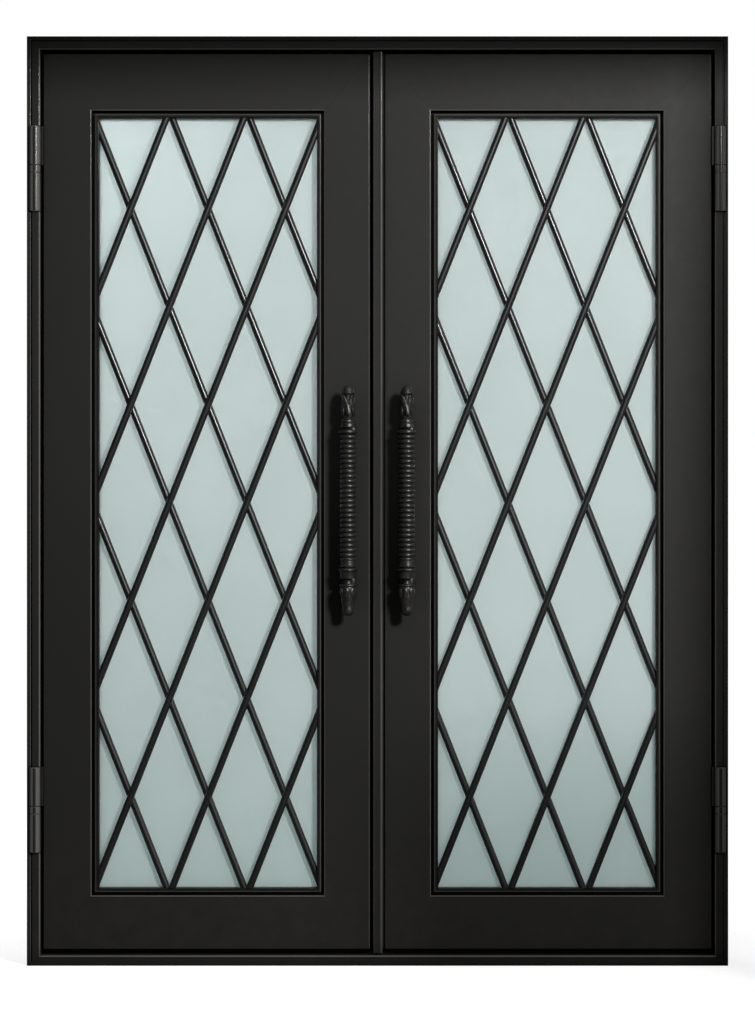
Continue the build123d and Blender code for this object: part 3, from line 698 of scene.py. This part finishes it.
# %% Join the pull and put a copy at each place
deselect()
parts = [grip, lower_end, upper_end] + leaves + posts
for part in parts:
    part.select_set(True)
bpy.context.view_layer.objects.active = grip
bpy.ops.object.join()
bpy.ops.object.shade_smooth_by_angle(angle=math.radians(40))
grip.data.materials.clear()
grip.data.materials.append(iron)
for side in ("left", "right"):
    for face, half_turn, mount in (("outer", 0.0, 1), ("inner", math.pi, -1)):
        node = f"{side}_{face}_pull"
        low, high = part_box(node)
        seat = high.y if face == "outer" else low.y
        pull = grip.copy()
        pull.data = grip.data.copy()
        pull.name = node + "_iron"
        bpy.context.collection.objects.link(pull)
        pull.rotation_euler.z = half_turn
        pull.location = ((low.x + high.x) / 2, seat - mount * standoff, low.z)
        deselect()
        pull.select_set(True)
        bpy.context.view_layer.objects.active = pull
        bpy.ops.object.transform_apply(location=True, rotation=True)
        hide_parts(node)
        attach(pull, side + "_leaf")
        print(pull.name, "rides on", side + "_leaf", "with", len(pull.data.polygons), "faces")
bpy.data.objects.remove(grip)

# %% [markdown]
# ## The brush on the astragal
#
# The astragal is the tube over the gap between the leaves. A brush in its edge closes the rest of
# the gap: stiff pile in a thin carrier, whose tips all but touch the other leaf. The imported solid
# stops short of that leaf, because a solid can't bend; here the pile is drawn out from the
# carrier in two steps. Its rows of tips are shaken a little and then pressed flat against the
# plane of the leaf's edge.

# %% Make the brush
brush_low, brush_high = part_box("astragal_brush")
leaf_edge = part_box("left_meeting_stile")[1].x
brush_size = brush_high - brush_low
middle = (brush_low + brush_high) / 2
tip = leaf_edge + 0.02 * mm
carrier, shake = 1.5 * mm, 0.6 * mm
rows, taper = 500, 0.7
deselect()
bpy.ops.mesh.primitive_grid_add(x_subdivisions=rows, y_subdivisions=1, size=1,
                                location=(0, 0, 0))
brush = bpy.context.object
brush.name = "astragal_brush_pile"
pick(brush, lambda place: True)
bpy.ops.transform.rotate(value=math.radians(90), orient_axis="Y", center_override=(0, 0, 0))
bpy.ops.transform.resize(value=(1, brush_size.y, brush_size.z), center_override=(0, 0, 0))
bpy.ops.transform.translate(value=(brush_high.x, middle.y, middle.z))
bpy.ops.mesh.extrude_region_move(TRANSFORM_OT_translate={"value": (-carrier, 0, 0)})
reach = brush_high.x - carrier - tip
bpy.ops.mesh.extrude_region_move(TRANSFORM_OT_translate={"value": (-reach, 0, 0)})
bpy.ops.transform.vertex_random(offset=shake, seed=3)
bpy.ops.transform.resize(value=(0, taper, 1), center_override=(tip, middle.y, middle.z))
bpy.ops.mesh.select_all(action="SELECT")
bpy.ops.mesh.normals_make_consistent(inside=False)
bpy.ops.object.mode_set(mode="OBJECT")
brush.data.materials.append(pile)
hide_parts("astragal_brush")
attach(brush, "right_leaf")
print("brush with", rows, "rows of pile")

# %% [markdown]
# ## Floor
#
# A product picture of dark doors needs a bright, plain surround. The floor shows white to the
# camera and keeps the doors' shadow, which is soft and close to them. Seen through the glass, it
# glows a deep green near the doors and white further off, which paints shade on the lower glass.
# To the paint it is a dimmer grey, as a real studio floor is, so a Light Path node tells the
# kinds of ray apart.

# %% The floor
floor_size = 60.0
shadow_start, shadow_end, shadow_white = 0.7, 1.5, 0.8
glass_shade_start, glass_shade_end = 1.5, 6.5
white, glass_shade_tone = (1, 1, 1, 1), (0.13, 0.28, 0.25, 1)
lit_floor, dim_floor = (0.82, 0.82, 0.82, 1), (0.10, 0.098, 0.094, 1)
deselect()
bpy.ops.mesh.primitive_plane_add(size=floor_size, location=(0, 0, 0))
floor = bpy.context.object
floor.name = "studio_floor"
pale = bpy.data.materials.new("Pale floor")
pale.use_nodes = True
tree = pale.node_tree
tree.nodes.remove(tree.nodes["Principled BSDF"])
rays = put(tree, "ShaderNodeLightPath").outputs
seen = calc(tree, "MAXIMUM", rays["Is Camera Ray"], rays["Is Transmission Ray"])
matt = put(tree, "ShaderNodeBsdfDiffuse", {"Color": lit_floor})
away = put(tree, "ShaderNodeVectorMath", {0: object_place(tree)},
           operation="LENGTH").outputs["Value"]
near_white = spread(tree, away, shadow_start, shadow_end, shadow_white, 1.0)
# Painted shade on the lower glass: the floor glows deep green near the doors for rays through it.
shade_through_glass = mixed(tree, spread(tree, away, glass_shade_start, glass_shade_end), glass_shade_tone, white)
plain = put(tree, "ShaderNodeCombineColor", {0: near_white, 1: near_white, 2: near_white})
glow_tone = mixed(tree, rays["Is Camera Ray"], shade_through_glass, plain.outputs[0])
glow = put(tree, "ShaderNodeEmission", {"Color": glow_tone, "Strength": 1.0})
lit = put(tree, "ShaderNodeAddShader", {0: matt.outputs[0], 1: glow.outputs[0]})
dim = put(tree, "ShaderNodeBsdfDiffuse", {"Color": dim_floor})
whole = put(tree, "ShaderNodeMixShader", {0: seen, 1: dim.outputs[0], 2: lit.outputs[0]})
tree.links.new(whole.outputs[0], tree.nodes["Material Output"].inputs["Surface"])
floor.data.materials.append(pale)
print("floor of", floor_size, "m")

# %% [markdown]
# ## Sky
#
# The world is what the doors stand in and mirror. The camera and the clear glass see plain
# white. Glossy paint and iron see a dark room with a window on the right, a ceiling, and a faint
# light behind the doors, because dark paint shows its shape by what it mirrors. Diffuse light
# from all round is kept low, so the lamps make the shapes.

# %% The sky round the studio
window_share, ceiling_share, behind_share = 0.45, 0.6, 0.15
room_dark, room_bright = (0.02, 0.02, 0.02, 1), (0.9, 0.9, 0.88, 1)
fill_tone = (0.06, 0.06, 0.061, 1)
world = bpy.data.worlds.new("Studio surround")
bpy.context.scene.world = world
world.use_nodes = True
tree = world.node_tree
rays = put(tree, "ShaderNodeLightPath").outputs
heading = put(tree, "ShaderNodeSeparateXYZ",
              {0: put(tree, "ShaderNodeTexCoord").outputs["Generated"]}).outputs
behind = calc(tree, "MULTIPLY", spread(tree, heading["Y"], 0.05, 0.6),
              spread(tree, heading["X"], -0.35, 0.1))
window = spread(tree, heading["X"], 0.35, 0.8)
ceiling = calc(tree, "MULTIPLY", spread(tree, heading["Z"], 0.45, 0.7),
               spread(tree, heading["X"], -0.45, 0.0))
bright = calc(tree, "MAXIMUM", calc(tree, "MULTIPLY", window, window_share),
              calc(tree, "MULTIPLY", ceiling, ceiling_share))
open_side = calc(tree, "MAXIMUM", calc(tree, "MULTIPLY", behind, behind_share), bright)
room = mixed(tree, open_side, room_dark, room_bright)
seen = calc(tree, "MAXIMUM", rays["Is Camera Ray"], rays["Is Transmission Ray"])
shown = mixed(tree, seen, room, white)
fill = mixed(tree, rays["Is Diffuse Ray"], shown, fill_tone)
tree.links.new(fill, tree.nodes["Background"].inputs["Color"])
print("sky", world.name)

# %% [markdown]
# ## Lamps
#
# One soft lamp high on the right catches the rounded edges, and a painted highlight in the paint
# draws the pale line down each of them. A large weak one near the camera opens the shadows, and
# one behind the doors lights the side that faces a room.

# %% The lamps
def lamp(name, place, target, size, watts, colour):
    """A soft square lamp that looks at a point."""
    light = bpy.data.lights.new(name, "AREA")
    light.size = size
    light.energy = watts
    light.color = colour
    holder = bpy.data.objects.new(name, light)
    bpy.context.collection.objects.link(holder)
    holder.location = place
    holder.rotation_euler = (Vector(target) - Vector(place)).to_track_quat("-Z", "Y").to_euler()
    print(name, "lamp,", watts, "W")


warm_white, plain_white = (1.0, 1.0, 0.98), (1.0, 1.0, 1.0)
lamp("key", (1.9, -4.05, 2.6), (0, 0, 1.1), size=0.6, watts=170.0, colour=warm_white)
lamp("front", (-0.1, -6.0, 2.2), (0, 0, 1.2), size=2.5, watts=6.0, colour=warm_white)
lamp("back", (-1.6, 3.4, 2.6), (0, 0, 1.1), size=1.6, watts=20.0, colour=plain_white)

# %% [markdown]
# ## Flags and a net
#
# A photographer keeps a lamp off part of a subject with black cards, called flags. Two of them
# stand beside and above the doors and draw a soft shade down the right jamb and along the head.
# A net, which lets a share of the light through, takes the lamp down on the lower right. All
# three only cast shade, so no camera or reflection shows them.

# %% Stand the flags
def black_cloth(name, cover):
    """A black material that hides a share of what is behind it."""
    cloth = bpy.data.materials.new(name)
    cloth.use_nodes = True
    shader = cloth.node_tree.nodes["Principled BSDF"]
    shader.inputs["Base Color"].default_value = (0.01, 0.01, 0.01, 1)
    shader.inputs["Alpha"].default_value = cover
    return cloth


card = black_cloth("Black card", 1.0)
net = black_cloth("Black net", 0.5)
card_y, net_y = -0.8, -1.33
side_edge, head_edge, card_top = 0.95, 2.108, 3.4
for name, cloth, flag_y, left, right, low, high in (
        ("side_flag", card, card_y, side_edge, 2.0, 0.0, card_top),
        ("top_flag", card, card_y, -1.8, side_edge, head_edge, card_top),
        ("low_net", net, net_y, 0.608, 2.2, 0.0, 1.138)):
    deselect()
    bpy.ops.mesh.primitive_plane_add(size=1, location=(0, 0, 0))
    flag = bpy.context.object
    flag.name = name
    pick(flag, lambda place: True)
    bpy.ops.transform.rotate(value=math.radians(90), orient_axis="X", center_override=(0, 0, 0))
    bpy.ops.transform.resize(value=(right - left, 1, high - low), center_override=(0, 0, 0))
    bpy.ops.transform.translate(value=((left + right) / 2, flag_y, (low + high) / 2))
    bpy.ops.object.mode_set(mode="OBJECT")
    flag.data.materials.append(cloth)
    flag.visible_camera = False
    flag.visible_glossy = False
    flag.visible_transmission = False
    flag.visible_diffuse = False
    print(name, "stands at", flag_y)

# %% [markdown]
# ## Camera
#
# The doors are seen square on, with their upright edges upright, so the camera is level. It
# stands well back with a long lens, which keeps the far and near edges nearly the same size. The
# lens is worked out from the height of the view at the front of the frame.

# %% Set up the camera
view_height, view_middle = 2.280, 1.0105
camera_distance, sensor = 7.0, 36.0
front = -0.065                            # the face of the frame
camera = bpy.data.cameras.new("camera")
camera.sensor_width = sensor
camera.lens = sensor * camera_distance / view_height
camera_holder = bpy.data.objects.new("camera", camera)
bpy.context.collection.objects.link(camera_holder)
camera_holder.location = (0, front - camera_distance, view_middle)
camera_holder.rotation_euler = (math.radians(90), 0, 0)
bpy.context.scene.camera = camera_holder
bpy.context.scene.view_settings.view_transform = "Standard"
print("lens", round(camera.lens, 1), "mm")
